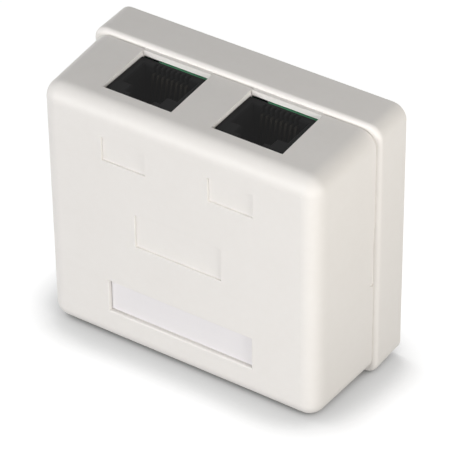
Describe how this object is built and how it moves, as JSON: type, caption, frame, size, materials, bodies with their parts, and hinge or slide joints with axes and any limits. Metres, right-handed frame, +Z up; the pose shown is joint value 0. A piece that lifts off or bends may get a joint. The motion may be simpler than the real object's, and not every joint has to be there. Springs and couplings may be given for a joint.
{
  "type": "surface mount jack box",
  "caption": "Surface mount network jack box: clip-fit cover over a wall base with a circuit board, modular jacks and punch-down blocks.",
  "frame": {"origin": "centre of the bottom of the box's bounding box, on the surface that its cable-entry edge stands on", "axes": "+Z up through the ports, +Y towards the wall, front face looks along -Y, +X to the right seen from the front"},
  "size_m": [0.0616, 0.0274, 0.056],
  "materials": {
    "cover_plastic": "fine satin, warm white",
    "base_plastic": "fine satin, warm white",
    "label_paper": "plain card",
    "board_laminate": "green solder mask",
    "screw_steel": "zinc plated",
    "jack_plastic": "satin black",
    "contact_gold": "gold flashed",
    "block_plastic": "satin white",
    "blade_metal": "tin plated bronze"
  },
  "bodies": {
    "base": {"rear_base": "base_plastic", "circuit_board": "board_laminate", "board_screws": "screw_steel", "jack_housing_1": "jack_plastic", "jack_insert_1": "jack_plastic", "terminal_block_1": "block_plastic", "jack_contact_1_1": "contact_gold", "terminal_blade_1_1": "blade_metal", "jack_contact_1_2": "contact_gold", "terminal_blade_1_2": "blade_metal", "jack_contact_1_3": "contact_gold", "terminal_blade_1_3": "blade_metal", "jack_contact_1_4": "contact_gold", "terminal_blade_1_4": "blade_metal", "jack_contact_1_5": "contact_gold", "terminal_blade_1_5": "blade_metal", "jack_contact_1_6": "contact_gold", "terminal_blade_1_6": "blade_metal", "jack_contact_1_7": "contact_gold", "terminal_blade_1_7": "blade_metal", "jack_contact_1_8": "contact_gold", "terminal_blade_1_8": "blade_metal", "jack_housing_2": "jack_plastic", "jack_insert_2": "jack_plastic", "terminal_block_2": "block_plastic", "jack_contact_2_1": "contact_gold", "terminal_blade_2_1": "blade_metal", "jack_contact_2_2": "contact_gold", "terminal_blade_2_2": "blade_metal", "jack_contact_2_3": "contact_gold", "terminal_blade_2_3": "blade_metal", "jack_contact_2_4": "contact_gold", "terminal_blade_2_4": "blade_metal", "jack_contact_2_5": "contact_gold", "terminal_blade_2_5": "blade_metal", "jack_contact_2_6": "contact_gold", "terminal_blade_2_6": "blade_metal", "jack_contact_2_7": "contact_gold", "terminal_blade_2_7": "blade_metal", "jack_contact_2_8": "contact_gold", "terminal_blade_2_8": "blade_metal"},
    "cover": {"front_cover": "cover_plastic", "label_slip": "label_paper"}
  },
  "joints": [
    {"name": "cover_pull", "type": "slide", "parent": "base", "child": "cover", "axis": [0, -1, 0], "range_m": [0, 0.028]}
  ]
}
